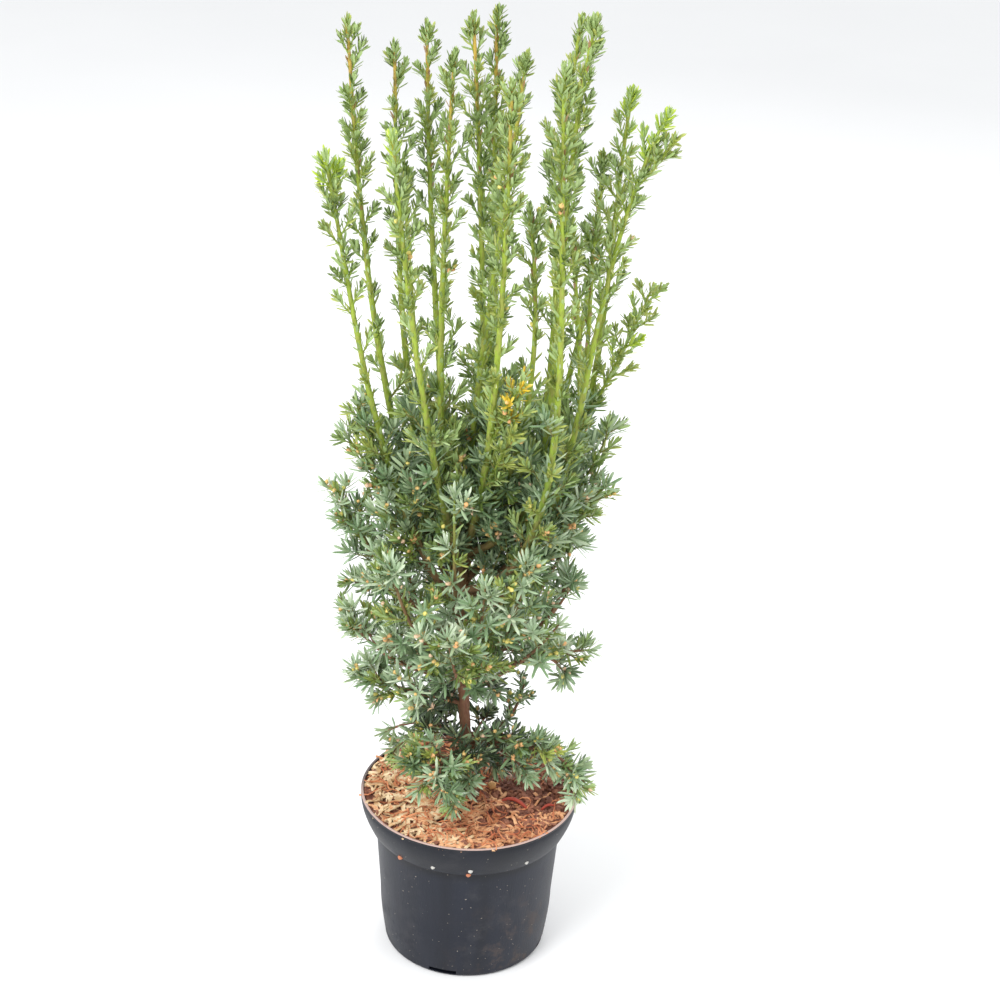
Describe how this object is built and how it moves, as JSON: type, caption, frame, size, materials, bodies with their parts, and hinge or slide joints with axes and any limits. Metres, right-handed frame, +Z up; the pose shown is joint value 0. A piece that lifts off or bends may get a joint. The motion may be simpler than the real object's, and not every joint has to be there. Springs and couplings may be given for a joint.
{
  "type": "potted yew shrub",
  "caption": "Slender upright yew in a round plastic nursery pot: one trunk, boughs that sweep up into leading shoots, and needle sprays all round.",
  "frame": {"origin": "centre of the pot's flat underside", "axes": "+Z up along the plant, -Y towards the front that the picture shows, +X to the right seen from there"},
  "size_m": [0.3351, 0.2718, 1.0174],
  "materials": {
    "pot_plastic": "dark slate moulded plastic, faintly ribbed, dusty at the lip",
    "bark_mulch": "peat under shredded bark and straw, tan to red-brown",
    "trunk_bark": "thin flaking red-brown bark",
    "young_bark": "smooth olive to yellow-green young bark",
    "young_needles": "fresh mid-green needles, yellow-green at the tips",
    "old_needles": "dark blue-green needles with paler undersides"
  },
  "bodies": {
    "root": {"pot": "pot_plastic", "soil": "bark_mulch", "trunk": "trunk_bark", "foliage_leader": "young_needles", "bough_left_outer": "young_bark", "foliage_left_outer": "young_needles", "bough_left_tall": "young_bark", "foliage_left_tall": "young_needles", "bough_left_front": "young_bark", "foliage_left_front": "young_needles", "bough_left_back": "young_bark", "foliage_left_back": "young_needles", "bough_mid_left_back": "young_bark", "foliage_mid_left_back": "young_needles", "foliage_mid_left": "young_needles", "foliage_centre_left": "young_needles", "foliage_centre_back": "young_needles", "bough_centre_front": "young_bark", "foliage_centre_front": "young_needles", "foliage_centre_right": "young_needles", "bough_right_tall_back": "young_bark", "foliage_right_tall_back": "young_needles", "bough_right_tall_front": "young_bark", "foliage_right_tall_front": "young_needles", "bough_right_short": "young_bark", "foliage_right_short": "young_needles", "bough_right_inner": "young_bark", "foliage_right_inner": "young_needles", "bough_right_bushy": "young_bark", "foliage_right_bushy": "young_needles", "bough_right_upper": "young_bark", "foliage_right_upper": "young_needles", "bough_right_outer": "young_bark", "foliage_right_outer": "young_needles", "bough_back_left": "young_bark", "foliage_back_left": "young_needles", "bough_back_middle": "young_bark", "foliage_back_middle": "young_needles", "bough_back_right": "young_bark", "foliage_back_right": "young_needles", "foliage_left_middle": "old_needles", "foliage_left_low": "old_needles", "foliage_left_lowest": "old_needles", "foliage_front_high": "old_needles", "foliage_front_left": "old_needles", "foliage_front_right": "old_needles", "foliage_front_middle": "old_needles", "foliage_front_low": "old_needles", "foliage_right_middle": "old_needles", "foliage_right_front": "old_needles", "bough_right_arm": "young_bark", "foliage_right_arm": "old_needles", "foliage_back_middle_low": "old_needles", "foliage_back_left_low": "old_needles", "foliage_back_right_low": "old_needles", "foliage_base_left": "old_needles", "foliage_base_front": "old_needles", "bough_base_right": "young_bark", "foliage_base_right": "old_needles", "foliage_inner_sprig": "old_needles"}
  },
  "joints": []
}
